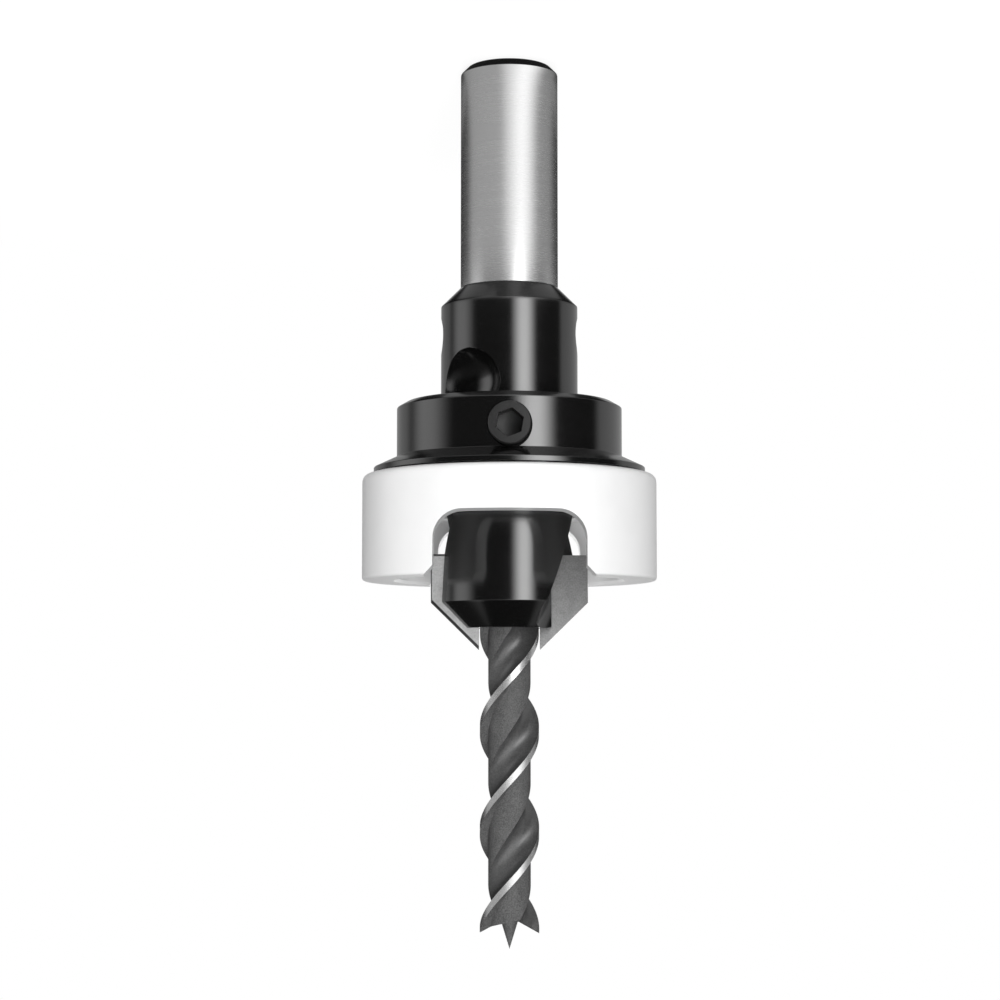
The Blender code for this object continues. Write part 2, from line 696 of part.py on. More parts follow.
def ring_profile():
    """Outside with its two rounded edges, the skirt, the web under the bearing, and the bearing's pocket."""
    pocket = BEARING_RADIUS + PRESS_FIT
    web_foot = RING_POCKET_DEPTH + RING_WEB
    top = (RING_RADIUS - RING_TOP_FILLET, RING_TOP_FILLET)
    foot = (RING_RADIUS - RING_FOOT_FILLET, RING_HEIGHT - RING_FOOT_FILLET)
    rounded = arc(top, RING_TOP_FILLET, -90, 0, FILLET_STEPS)
    rounded += arc(foot, RING_FOOT_FILLET, 0, 90, FILLET_STEPS)
    return rounded + [
        (RING_SKIRT_BORE + EDGE_BREAK, RING_HEIGHT),
        (RING_SKIRT_BORE, RING_HEIGHT - EDGE_BREAK),
        (RING_SKIRT_BORE, web_foot),
        (RING_WEB_BORE, web_foot),
        (RING_WEB_BORE, RING_POCKET_DEPTH),
        (pocket, RING_POCKET_DEPTH),
        (pocket, EDGE_BREAK),
        (pocket + EDGE_BREAK, 0),
    ]


def window_outline():
    """A window through the skirt: round upper corners, straight sides and a splayed mouth."""
    half, corner = WINDOW_WIDTH / 2, WINDOW_CORNER_RADIUS
    middle = WINDOW_TOP + corner
    left = arc((corner - half, middle), corner, 180, 270, CORNER_STEPS)
    right = arc((half - corner, middle), corner, 270, 360, CORNER_STEPS)
    splay = RING_HEIGHT - WINDOW_MOUTH_CHAMFER
    past = WINDOW_MOUTH_CHAMFER + OVERCUT
    mouth = [(half, splay), (half + past, splay + past), (-half - past, splay + past), (-half, splay)]
    return left + right + mouth


def stop_ring(carrier):
    ring = piece("stop_ring", turned(ring_profile(), FINE_STEPS), white_plastic())
    cut(ring, [extruded(window_outline(), 2 * (RING_RADIUS + OVERCUT))])
    return seat(ring, carrier)


def build():
    clear_scene()
    tool = empty("tool_carrier", 0.0)
    drill = empty("drill_carrier", DRILL_REAR, tool)
    collar = empty("collar_carrier", COLLAR_PLACE, tool)
    ring = empty("ring_carrier", RING_PLACE, collar)
    balls = empty("ball_carrier", BEARING_PLACE + BEARING_WIDTH / 2, collar)
    tool_body(tool)
    carbide_tips(tool)
    drill_clamp_screws(tool)
    drill_bit(drill)
    stop_collar(collar)
    collar_clamp_screw(collar)
    steel = bearing_steel()
    bearing_rings(collar, ring, steel)
    bearing_shields(ring, steel)
    bearing_cage(balls)
    bearing_balls(balls, steel)
    stop_ring(ring)


build()
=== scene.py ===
"""Looks of the drill countersink: finely cut pieces, finishes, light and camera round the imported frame.

The axis of the tool is Z, from the end of the shank to the drill's point. Sizes are in millimetres and
become metres where a mesh is made. Lamps, floor and camera are given in metres. Angles are in degrees,
from +X towards +Y.
"""

import math

import bmesh
import bpy
import numpy as np
from mathutils import Matrix, Vector

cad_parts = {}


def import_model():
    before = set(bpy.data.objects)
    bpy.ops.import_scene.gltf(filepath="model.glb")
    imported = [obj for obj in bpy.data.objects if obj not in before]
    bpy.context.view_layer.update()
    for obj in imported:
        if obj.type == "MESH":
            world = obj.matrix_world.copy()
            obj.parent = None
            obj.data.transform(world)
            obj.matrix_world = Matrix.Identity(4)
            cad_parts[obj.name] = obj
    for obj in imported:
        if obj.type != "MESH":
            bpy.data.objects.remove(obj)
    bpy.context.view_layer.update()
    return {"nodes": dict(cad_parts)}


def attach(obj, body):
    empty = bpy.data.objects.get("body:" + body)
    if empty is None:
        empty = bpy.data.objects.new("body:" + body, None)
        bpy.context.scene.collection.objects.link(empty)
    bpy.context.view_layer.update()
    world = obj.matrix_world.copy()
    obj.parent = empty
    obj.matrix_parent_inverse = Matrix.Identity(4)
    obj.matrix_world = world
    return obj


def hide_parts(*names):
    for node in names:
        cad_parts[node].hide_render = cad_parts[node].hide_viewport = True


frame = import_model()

MM = 0.001
RIGHT, FRONT, LEFT = 0.0, -90.0, 180.0

# Distances in metres under which points are welded, in a new mesh and after a cut
WELD = 1e-7
CUT_WELD = 1e-6

# Shank and body
SHANK_RADIUS = 5.0
SHANK_LENGTH = 23.1
SHANK_CHAMFER = 0.8
BODY_RADIUS = 7.0
BODY_START = 25.1
HEAD_CORNER = 55.4
NOSE_RADIUS = 4.4
NOSE_END = 58.0
BORE_RADIUS = 3.05
BORE_CHAMFER = 0.2
BORE_FLOOR = 12.0
BORE_BOTTOM = 10.2
BORE_ROWS = (45.0, 30.0)
BODY_STEP = 0.28

# Chip flutes and tip seats
FLUTE_LEAD = 94.0
FLUTE_CUTTER_RADIUS = 4.2
FLUTE_FLOOR_RADIUS = 4.2
FLUTE_AXIS_RADIUS = FLUTE_FLOOR_RADIUS + FLUTE_CUTTER_RADIUS
FLUTE_START = 34.0
FLUTE_START_EASE = 1.2
FLUTE_AHEAD = 27.7
FLUTE_EDGE_ROUND = 0.09
SEAT_FRONT = 1.5
BRAZE_GAP = 0.05

# Grid of the flutes: where their ball ends first cut the body, the rows there, and the columns beside an
# edge, in degrees from it. A flute narrower than the full spread has its inner columns closer together.
FLUTE_FOOT = 29.9
FLUTE_FOOT_END = 31.0
FLUTE_FOOT_STEP = 0.04
FLUTE_START_STEP = 0.1
FLUTE_LEAST_SPREAD = 2.0
FLUTE_FULL_SPREAD = 9.0
EDGE_INWARDS = (0.1, 0.3, 0.7, 1.4, 2.6, 4.4)
EDGE_OUTWARDS = (3.2, 1.7, 0.9, 0.45, 0.18)
LAND_COLUMNS = 20
FLOOR_COLUMNS = 25
OUT_OF_REACH = 99.0

# Carbide tips
TIP_RADIUS = 8.0
TIP_THICKNESS = 1.5
TIP_LENGTH = 5.0
TIP_AXIAL_RAKE = 11.0
TIP_CLEARANCE_ANGLE = 6.0
TIP_RELIEF_ANGLE = 18.0
TIP_INNER_RADIUS = 3.1
TIP_NOSE_GAP = 0.03
TIP_EDGE = 0.03
TIP_BACK, TIP_RELIEF, TIP_RAKE = 0, 1, 2

# Drill
DRILL_RADIUS = 3.0
DRILL_REAR = 18.2
DRILL_REAR_CHAMFER = 0.4
DRILL_SHANK_ROW = 30.0
DRILL_POINT = 90.2
DRILL_LEAD = 20.3
DRILL_LAND_RADIUS = 2.15
DRILL_MARGIN_ANGLE = 16.0
DRILL_STEP_ANGLE = 2.4
DRILL_FLUTE_ANGLE = 78.0
DRILL_LAND_END = 180.0 - DRILL_FLUTE_ANGLE
DRILL_FLUTE_ARC_RADIUS = 2.4
DRILL_FLUTED_LENGTH = 45.0
DRILL_RUNOUT = 4.0
DRILL_SPUR_DROP = 1.6
DRILL_VALLEY_DROP = 2.75
DRILL_POINT_RADIUS = 0.85
DRILL_LIP_RELIEF = 24.0
DRILL_HELIX_ROWS = 181
DRILL_POINT_ROWS = (0.66, 0.33, 0.0)
DRILL_LAND, DRILL_MARGIN, DRILL_FLUTE = 0, 1, 2

# Collar
COLLAR_PLACE = 35.0
COLLAR_RADIUS = 11.5
COLLAR_BORE_RADIUS = 7.05

# Grub screws. The socket is measured across its flats, and the turn is that of its hexagon. Places are
# heights on the tool, and inner ends are distances from its axis.
DRILL_SCREW = {"radius": 1.74, "length": 3.0, "socket": 2.0, "pitch": 0.7, "turn": 9.0}
DRILL_SCREW_INNER_END = 3.1
DRILL_SCREW_PLACE = 28.0
COLLAR_SCREW = {"radius": 2.14, "length": 5.0, "socket": 2.5, "pitch": 0.8, "turn": -10.0}
COLLAR_SCREW_PLACE = COLLAR_PLACE + 3.3
SCREW_COLUMNS = 144
SCREW_CHAMFER = 0.12
THREAD_START = 0.3
THREAD_END = 0.28
THREAD_FADE = 0.25
THREAD_DEPTH = 0.305

# Tapped holes, from one distance from the axis to another. Each ring groove starts at HOLE_GROOVE, is as deep
# as that, and is deepest at HOLE_GROOVE_FLOOR, all as shares of the pitch.
DRILL_HOLE = {"radius": 1.8, "pitch": 0.7, "inside": 2.0, "outside": BODY_RADIUS}
COLLAR_HOLE = {"radius": 2.2, "pitch": 0.8, "inside": 5.0, "outside": COLLAR_RADIUS}
HOLE_COLUMNS = 72
HOLE_PLAIN_END = 0.35
HOLE_GROOVE = 0.3
HOLE_GROOVE_FLOOR = 0.65
HOLE_EDGE_BREAK = 0.12
CUTTER_OVER = 0.4

# Stop ring and its windows, with heights above the ring's lower face
RING_PLACE = 42.4
RING_RADIUS = 15.0
RING_HEIGHT = 10.8
RING_WEB_START = 3.49
RING_WEB_END = RING_WEB_START + 0.65
WINDOW_HALF_WIDTH = 7.5
WINDOW_FLOOR = 4.5
WINDOW_CORNER_RADIUS = 2.8
WINDOW_SPLAY_START = RING_HEIGHT - 0.9
WINDOW_SPLAY = 2.4

# Soft light from the room, where white is 1. Near the tool a share of the floor is matt and takes the shadow,
# and the rest glows more by the make-up.
ROOM_SOFT = 0.2
FLOOR_SHADOW = 0.3
FLOOR_MAKE_UP = 0.22
FLOOR_NEAR = (0.02, 0.12)
FLOOR_REACH = 6.0

# Lamps: name, angle from the camera towards the picture's right, height, distance, side of the square and
# power in watts. All aim at one height on the axis.
LAMPS = (
    ("key", 3.0, 0.3, 0.75, 0.4, 6.2),
    ("back", 180.0, 0.3, 0.75, 0.4, 2.4),
)
LAMP_AIM = 0.045

# Camera: how far it looks down, lens and sensor in millimetres, and place
CAMERA_DIP = 4.874
CAMERA_LENS = 86.098
CAMERA_SENSOR = 36.0
CAMERA_NEAR = 0.01
CAMERA_PLACE = (0.000955, -0.24341, 0.06566)

# The tent that shows in polished surfaces: soft cards round the tool, one set at the height of the body and
# one at the height of the shank and the drill. Each card is its middle and half its width in degrees, from
# the camera towards the picture's right, then the width of its soft edge and its brightness. White is 1.
TENT_RADIUS = 40.0
TENT_HEIGHT = 220.0
TENT_COLUMNS = 96
TENT_STEP = 10.0
TENT_DARK = 0.02
TENT_BODY_START = (15.0, 19.0)
TENT_BODY_END = (60.0, 64.0)
TENT_FADE = (125.0, 150.0)
CARDS_BY_BODY = (
    (22.0, 12.0, 20.0, 4.6),
    (-80.0, 17.0, 26.0, 1.0),
    (-142.0, 34.0, 16.0, 0.38),
    (130.0, 42.0, 12.0, 0.48),
    (180.0, 10.0, 4.0, 2.0),
)
CARDS_BY_SHANK = (
    (25.0, 24.0, 48.0, 1.6),
    (-50.0, 52.0, 26.0, 0.36),
    (75.0, 40.0, 30.0, 0.25),
    (180.0, 18.0, 20.0, 1.0),
)

# The card on the floor inside the tent. A table of distance from the axis and brightness holds next to the
# shank and behind the tool, where its edge runs away from the camera with the distance.
TENT_BASE = ((4.3, 0.04), (6.5, 0.05), (11.0, 0.38), (40.0, 0.38))
TENT_BASE_HEIGHT = 0.1
TENT_BASE_END = (5.2, 6.2)
TENT_BACK_EDGE = (81.0, 87.0)
TENT_BACK_EDGE_PER_MM = 1.85


def polar(radius, degrees):
    """x and y at this radius and angle."""
    angle = np.radians(degrees)
    return radius * np.cos(angle), radius * np.sin(angle)


def added(name, data):
    """A new object of the scene with this mesh, lamp or camera."""
    made = bpy.data.objects.new(name, data)
    bpy.context.scene.collection.objects.link(made)
    return made


def smoothed(mesh, sharp):
    """Shades the mesh smooth, apart from edges sharper than this angle."""
    mesh.shade_smooth()
    mesh.set_sharp_from_angle(angle=math.radians(sharp))


def finished(name, points, faces, finishes, slots=None, sharp=30.0):
    """An object from points in millimetres and faces: welded, facing out and smooth up to the sharp angle."""
    mesh = bpy.data.meshes.new(name)
    mesh.from_pydata((points * MM).tolist(), [], faces)
    for made in finishes:
        mesh.materials.append(made)
    if slots is not None:
        mesh.polygons.foreach_set("material_index", slots.astype(np.int32))
    shape = bmesh.new()
    shape.from_mesh(mesh)
    bmesh.ops.remove_doubles(shape, verts=shape.verts, dist=WELD)
    bmesh.ops.recalc_face_normals(shape, faces=shape.faces)
    if shape.calc_volume(signed=True) < 0:
        bmesh.ops.reverse_faces(shape, faces=shape.faces)
    shape.to_mesh(mesh)
    shape.free()
    smoothed(mesh, sharp)
    return added(name, mesh)


def grid_faces(rows, columns, loop=False):
    """Quads between neighbours on a grid, closed round its columns, and round its rows too for a loop."""
    index = np.arange(rows * columns).reshape(rows, columns)
    if loop:
        index = np.vstack([index, index[:1]])
    beside = np.roll(index, -1, axis=1)
    return np.stack([index[:-1], beside[:-1], beside[1:], index[1:]], axis=-1).reshape(-1, 4)


def skinned(name, grid, finishes, slots=None, loop=False, sharp=30.0):
    """A closed skin over a grid of points of shape (rows, columns, 3)."""
    rows, columns, _ = grid.shape
    faces = grid_faces(rows, columns, loop).tolist()
    return finished(name, grid.reshape(-1, 3), faces, finishes, slots, sharp)


def rounded(corners, steps=5):
    """A profile of (radius, height) from corners (radius, height, fillet): each fillet is a curve between
    the points that lie that far from the corner on its two sides."""
    spots = np.array([corner[:2] for corner in corners], float)
    profile = []
    for number, (radius, height, fillet) in enumerate(corners):
        here = spots[number]
        if fillet == 0 or number in (0, len(corners) - 1):
            profile.append(here[None])
            continue
        before, after = spots[number - 1] - here, spots[number + 1] - here
        start = here + before / np.linalg.norm(before) * fillet
        end = here + after / np.linalg.norm(after) * fillet
        t = np.linspace(0, 1, steps)[:, None]
        profile.append((1 - t) ** 2 * start + 2 * t * (1 - t) * here + t**2 * end)
    return np.vstack(profile)


def filled(profile, step):
    """The profile with points added, so that none is further than the step from the next."""
    parts = []
    for start, end in zip(profile[:-1], profile[1:]):
        count = max(1, math.ceil(np.linalg.norm(end - start) / step))
        parts.append(start + (end - start) * np.arange(count)[:, None] / count)
    return np.vstack(parts + [profile[-1:]])


def turned(name, profile, columns, finishes, loop=False, sharp=30.0, slots=None):
    """The profile spun about the axis: x = r cos a, y = r sin a, z = height."""
    turn = np.linspace(0, 360, columns, endpoint=False)
    x, y = polar(profile[:, :1], turn[None])
    grid = np.stack([x, y, np.broadcast_to(profile[:, 1:], x.shape)], axis=-1)
    return skinned(name, grid, finishes, slots, loop, sharp)


def placed(solid, matrix):
    """Moves the mesh itself by a matrix in millimetres."""
    metres = matrix.copy()
    metres.translation = matrix.translation * MM
    solid.data.transform(metres)
    return solid


def without(solid, cutters, sharp=30.0):
    """Takes the cutters out of the piece and removes them. The cut mesh is then welded and made triangles,
    and faces that lie on each other are deleted."""
    for number, cutter in enumerate(cutters):
        boolean = solid.modifiers.new(f"cut_{number}", "BOOLEAN")
        boolean.operation = "DIFFERENCE"
        boolean.solver = "EXACT"
        boolean.object = cutter
    graph = bpy.context.evaluated_depsgraph_get()
    mesh = bpy.data.meshes.new_from_object(solid.evaluated_get(graph))
    shape = bmesh.new()
    shape.from_mesh(mesh)
    bmesh.ops.remove_doubles(shape, verts=shape.verts, dist=CUT_WELD)
    bmesh.ops.dissolve_degenerate(shape, edges=shape.edges, dist=CUT_WELD)
    bmesh.ops.triangulate(shape, faces=shape.faces)
    same = {}
    for face in shape.faces:
        same.setdefault(frozenset(face.verts), []).append(face)
    flaps = [face for faces in same.values() if len(faces) > 1 for face in faces]
    bmesh.ops.delete(shape, geom=flaps, context="FACES")
    shape.to_mesh(mesh)
    shape.free()
    solid.modifiers.clear()
    solid.data = mesh
    for cutter in cutters:
        bpy.data.objects.remove(cutter)
    smoothed(mesh, sharp)
    return solid


def on_frame(piece, body, slot, *nodes):
    """Rides on its body and stands for these nodes of the frame."""
    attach(piece, body)
    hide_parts(*nodes)
    return piece


# Finishes


class Shade:
    """One output of a material's nodes. Sums on it add Math nodes, and node() adds any other node."""

    def __init__(self, tree, socket=None):
        self.tree = tree
        self.socket = socket

    def node(self, kind, settings=None, inputs=None, output=0):
        """Adds a node of this type, with its settings first and then its values or links."""
        made = self.tree.nodes.new(kind)
        for name, value in (settings or {}).items():
            if name == "stops":
                ramp = made.color_ramp
                while len(ramp.elements) < len(value):
                    ramp.elements.new(0.5)
                for element, (place, level) in zip(ramp.elements, value):
                    element.position = place
                    element.color = (level, level, level, 1.0)
            else:
                setattr(made, name, value)
        for name, value in (inputs or {}).items():
            if isinstance(value, Shade):
                self.tree.links.new(value.socket, made.inputs[name])
            else:
                made.inputs[name].default_value = value
        return Shade(self.tree, made.outputs[output])

    def sum(self, operation, first, second=0.0):
        """Adds a Math node."""
        return self.node("ShaderNodeMath", {"operation": operation}, {0: first, 1: second})

    def __add__(self, other):
        return self.sum("ADD", self, other)

    def __radd__(self, other):
        return self.sum("ADD", other, self)

    def __sub__(self, other):
        return self.sum("SUBTRACT", self, other)

    def __rsub__(self, other):
        return self.sum("SUBTRACT", other, self)

    def __mul__(self, other):
        return self.sum("MULTIPLY", self, other)

    def __rmul__(self, other):
        return self.sum("MULTIPLY", other, self)

    def __truediv__(self, other):
        return self.sum("DIVIDE", self, other)


def finish(name, colour, roughness, metallic=0.0, **constants):
    """A material with these plain values. Gives it, its main shader and a Shade to build on."""
    made = bpy.data.materials.new(name)
    made.use_nodes = True
    shader = made.node_tree.nodes["Principled BSDF"]
    shader.inputs["Base Color"].default_value = (*colour, 1.0)
    shader.inputs["Roughness"].default_value = roughness
    shader.inputs["Metallic"].default_value = metallic
    for socket, value in constants.items():
        shader.inputs[socket.replace("_", " ")].default_value = value
    return made, shader, Shade(made.node_tree)


def feed(shade, shader, socket):
    """Leads the shade into a socket."""
    shade.tree.links.new(shade.socket, shader.inputs[socket])


def noise(nodes, scale, detail=2.0, roughness=0.5, stretch=(1, 1, 1)):
    """Noise on Object coordinates with this many features a millimetre, stretched along the axes."""
    place = nodes.node("ShaderNodeTexCoord", output="Object")
    mapped = nodes.node("ShaderNodeMapping", None, {"Vector": place, "Scale": stretch})
    inputs = {"Vector": mapped, "Scale": scale / MM, "Detail": detail, "Roughness": roughness}
    return nodes.node("ShaderNodeTexNoise", {"noise_dimensions": "3D"}, inputs)


def grey_between(nodes, factor, low, high):
    """A colour between two greys."""
    ends = {0: factor, 6: (low, low, low, 1), 7: (high, high, high, 1)}
    return nodes.node("ShaderNodeMix", {"data_type": "RGBA"}, ends, output=2)


def contrasted(nodes, value, low, high):
    """0 to 1 where the value goes from the low to the high one, in a straight line."""
    return nodes.node("ShaderNodeMapRange", None, {0: value, 1: low, 2: high})


def smooth_step(nodes, value, start, end, before=0.0, after=1.0):
    """From one level before the start to the other after the end, with a soft bend at both."""
    inputs = {0: value, 1: start, 2: end, 3: before, 4: after}
    return nodes.node("ShaderNodeMapRange", {"interpolation_type": "SMOOTHSTEP"}, inputs)


def bumped(nodes, shader, height, distance, strength=1.0):
    """Feeds a height into the shader's normal."""
    inputs = {"Height": height, "Distance": distance * MM, "Strength": strength}
    feed(nodes.node("ShaderNodeBump", None, inputs), shader, "Normal")


def ground_steel():
    """Bright steel with fine grinding lines round the axis."""
    tint = (0.2, 0.2, 0.2, 1)
    made, shader, nodes = finish("ground_steel", (0.62, 0.62, 0.62), 0.28, 0.85, Specular_Tint=tint)
    fine = noise(nodes, 1.0, stretch=(0.01, 0.01, 6.0))
    broad = noise(nodes, 1.0, stretch=(0.02, 0.02, 0.9))
    feed(grey_between(nodes, fine * 0.6 + broad * 0.4, 0.56, 0.68), shader, "Base Color")
    feed(fine * 0.16 + broad * 0.16 + 0.1, shader, "Roughness")
    bumped(nodes, shader, fine, 0.0002)
    return made


def black_steel():
    """Gloss black on turned steel, with faint turning lines and a little unevenness in its gloss."""
    made, shader, nodes = finish("blackened_steel", (0.004, 0.004, 0.004), 0.16, 0.0, IOR=1.9)
    lines = noise(nodes, 1.0, stretch=(0.04, 0.04, 7.0))
    cloud = noise(nodes, 0.6, detail=3.0)
    feed(cloud * 0.06 + lines * 0.04 + 0.11, shader, "Roughness")
    bumped(nodes, shader, lines, 0.0004)
    return made


def drill_grey(name, low, high, roughness, gloss):
    """Dark grey with the fine grain of a steam treated drill."""
    made, shader, nodes = finish(name, (high, high, high), roughness, 0.1, Specular_IOR_Level=gloss)
    grain = noise(nodes, 7.0, detail=4.0, roughness=0.75)
    cloud = noise(nodes, 0.7)
    spread = contrasted(nodes, grain * 0.85 + cloud * 0.15, 0.37, 0.63)
    feed(grey_between(nodes, spread, low, high), shader, "Base Color")
    feed(grain * 0.2 + (roughness - 0.1), shader, "Roughness")
    bumped(nodes, shader, grain, 0.004)
    return made


def margin_steel():
    """The ground margins of the drill."""
    made, shader, nodes = finish("drill_margin", (0.7, 0.7, 0.7), 0.3, 0.9)
    cloud = noise(nodes, 2.0, detail=3.0)
    feed(grey_between(nodes, cloud, 0.64, 0.76), shader, "Base Color")
    feed(cloud * 0.16 + 0.2, shader, "Roughness")
    return made


def carbide(name, low, high):
    """Ground carbide with a very fine grain."""
    made, shader, nodes = finish(name, (high, high, high), 0.45, 0.6)
    grain = noise(nodes, 7.0, detail=4.0, roughness=0.75)
    cloud = noise(nodes, 1.2)
    spread = contrasted(nodes, grain * 0.75 + cloud * 0.25, 0.35, 0.65)
    feed(grey_between(nodes, spread, low, high), shader, "Base Color")
    feed(grain * 0.18 + 0.36, shader, "Roughness")
    bumped(nodes, shader, grain, 0.003)
    return made


def shaded_relief_carbide():
    """The narrow relief faces behind the cutting edges: matt, with a near-black grey that is painted shade.
    """
    made, shader, nodes = finish("carbide_relief_painted_shade", (0.03, 0.03, 0.03), 0.4, 0.0, Specular_IOR_Level=0.25)
    grain = noise(nodes, 9.0, detail=3.0, roughness=0.7)
    feed(grey_between(nodes, grain, 0.012, 0.045), shader, "Base Color")
    feed(grain * 0.12 + 0.35, shader, "Roughness")
    return made


def screw_black():
    """Satin black of a hardened screw."""
    made, shader, nodes = finish("screw_steel", (0.01, 0.01, 0.01), 0.4, 0.0)
    grain = noise(nodes, 7.0, detail=3.0, roughness=0.65)
    feed(grey_between(nodes, grain, 0.006, 0.016), shader, "Base Color")
    feed(grain * 0.16 + 0.31, shader, "Roughness")
    bumped(nodes, shader, grain, 0.002)
    return made


def bearing_steel():
    """Polished bearing steel with superfinishing lines."""
    made, shader, nodes = finish("bearing_steel", (0.55, 0.56, 0.58), 0.15, 1.0)
    lines = noise(nodes, 1.0, stretch=(0.1, 0.1, 12.0))
    feed(lines * 0.08 + 0.1, shader, "Roughness")
    return made


def cage_plastic():
    """Moulded black plastic with a fine grain."""
    made, shader, nodes = finish("cage_plastic", (0.05, 0.05, 0.055), 0.5)
    grain = noise(nodes, 6.0)
    feed(grain * 0.15 + 0.42, shader, "Roughness")
    bumped(nodes, shader, grain, 0.002)
    return made


def white_plastic():
    """White turned plastic: satin, with very faint tool lines."""
    made, shader, nodes = finish("white_plastic", (0.86, 0.86, 0.86), 0.34, 0.0)
    lines = noise(nodes, 1.0, stretch=(0.1, 0.1, 8.0))
    cloud = noise(nodes, 0.4)
    feed(grey_between(nodes, cloud, 0.84, 0.88), shader, "Base Color")
    feed(lines * 0.1 + 0.29, shader, "Roughness")
    bumped(nodes, shader, lines, 0.0006)
    return made


# Tool body


def flute_columns(spread):
    """Angles from a flute's middle line, one row for each half width given in degrees. They are close
    together at the flute's two edges and run over the land to a quarter turn on each side."""
    spread = spread[:, None]
    inside = np.array(EDGE_INWARDS) * np.minimum(1.0, spread / FLUTE_FULL_SPREAD)
    outside = np.array(EDGE_OUTWARDS)
    edge = np.hstack([spread + outside, np.broadcast_to(spread, (len(spread), 1)), spread - inside])
    t = np.linspace(0, 1, LAND_COLUMNS)[:-1]
    land = 90.0 + (edge[:, :1] - 90.0) * t
    floor = edge[:, -1:] * np.cos(np.linspace(0, math.pi, FLOOR_COLUMNS))[1:-1]
    side = np.hstack([land, edge])
    return np.hstack([-side, -floor, side[:, :0:-1]])


def flute_reach(height):
    """Radius of the cutter's cross-section at this height: full, or a chord of its ball end."""
    short = np.maximum(0.0, FLUTE_START - height)
    return np.sqrt(np.maximum(FLUTE_CUTTER_RADIUS**2 - short**2, 0.0))


def body_profile():
    """The turned outline as (radius, height) in two parts: outside, from the middle of the shank's end face
    to the nose, with close rows where the flutes start, and then down the bore to its bottom."""
    outer = rounded(
        [
            (0, 0, 0),
            (SHANK_RADIUS - SHANK_CHAMFER, 0, 0.1),
            (SHANK_RADIUS, SHANK_CHAMFER, 0.12),
            (SHANK_RADIUS, SHANK_LENGTH, 0),
            (BODY_RADIUS, BODY_START, 0.05),
            (BODY_RADIUS, HEAD_CORNER, 0.03),
            (NOSE_RADIUS, NOSE_END, 0.06),
            (BORE_RADIUS + BORE_CHAMFER, NOSE_END, 0),
        ]
    )[:-1]
    shank = outer[outer[:, 1] <= SHANK_LENGTH]
    above = filled(outer[outer[:, 1] >= SHANK_LENGTH], BODY_STEP)
    low, high = above[above[:, 1] < FLUTE_FOOT], above[above[:, 1] > FLUTE_START]
    foot = np.array([[BODY_RADIUS, FLUTE_FOOT], [BODY_RADIUS, FLUTE_FOOT_END]])
    start = np.array([[BODY_RADIUS, FLUTE_FOOT_END], [BODY_RADIUS, FLUTE_START]])
    close = [filled(foot, FLUTE_FOOT_STEP)[:-1], filled(start, FLUTE_START_STEP)]
    bore = [(BORE_RADIUS + BORE_CHAMFER, NOSE_END), (BORE_RADIUS, NOSE_END - BORE_CHAMFER)]
    bore += [(BORE_RADIUS, row) for row in BORE_ROWS]
    bore += [(BORE_RADIUS, BORE_FLOOR), (0, BORE_BOTTOM)]
    return np.vstack([shank[:-1], low, *close, high]), np.array(bore)


def body_grid():
    """The body as r(angle, height): the smaller of the turned radius and the near side of the cutter's
    circle, a cos d - sqrt(c^2 - (a sin d)^2), blended over a small round where the two meet. The flute's
    middle line is a helix that starts straight."""
    outer, bore = body_profile()
    radius, height = np.vstack([outer, bore]).T
    last = len(outer) - 1
    fluted = np.arange(len(radius)) <= last
    reach = flute_reach(height)
    sides = 2 * FLUTE_AXIS_RADIUS * np.maximum(radius, 1e-6)
    cosine = (FLUTE_AXIS_RADIUS**2 + radius**2 - reach**2) / sides
    spread = np.degrees(np.arccos(np.clip(cosine, -1, 1)))
    spread = np.where(height < FLUTE_FOOT, 0.0, spread)
    spread = np.where(fluted, spread, spread[last])
    offsets = flute_columns(np.maximum(spread, FLUTE_LEAST_SPREAD))
    past = np.minimum(height, NOSE_END) - FLUTE_START
    past = (past + np.sqrt(past**2 + FLUTE_START_EASE**2)) / 2
    middle = FLUTE_AHEAD + 360.0 * (FLUTE_START + past - HEAD_CORNER) / FLUTE_LEAD
    middle = np.where(fluted, middle, middle[last])
    aside = FLUTE_AXIS_RADIUS * np.sin(np.radians(offsets))
    under = reach[:, None] ** 2 - aside**2
    near = FLUTE_AXIS_RADIUS * np.cos(np.radians(offsets)) - np.sqrt(np.maximum(under, 0.0))
    near = np.where((under > 0) & (np.abs(offsets) < 90) & fluted[:, None], near, OUT_OF_REACH)
    plain = np.broadcast_to(radius[:, None], near.shape)
    blend = np.maximum(FLUTE_EDGE_ROUND - np.abs(plain - near), 0.0) / FLUTE_EDGE_ROUND
    cut = np.minimum(plain, near) - blend**2 * FLUTE_EDGE_ROUND / 4
    turns = np.hstack([middle[:, None] + offsets + side for side in (RIGHT, LEFT)])
    x, y = polar(np.hstack([cut, cut]), turns)
    return np.stack([x, y, np.broadcast_to(height[:, None], x.shape)], axis=-1)


def tip_frame(side):
    """X runs out from the axis, Y out of the rake face and Z towards the point."""
    turn = Matrix.Rotation(math.radians(side), 4, "Z")
    lean = Matrix.Rotation(math.radians(-TIP_AXIAL_RAKE), 4, "X")
    return turn @ Matrix.Translation((0, 0, HEAD_CORNER)) @ lean


def prism(name, low, high, finishes):
    """The skin between two outlines of the same number of corners, closed at both ends."""
    count = len(low)
    index = np.arange(count)
    beside = np.roll(index, -1)
    sides = np.stack([index, beside, beside + count, index + count], axis=1).tolist()
    ends = [index[::-1].tolist(), (index + count).tolist()]
    return finished(name, np.vstack([low, high]), sides + ends, finishes)


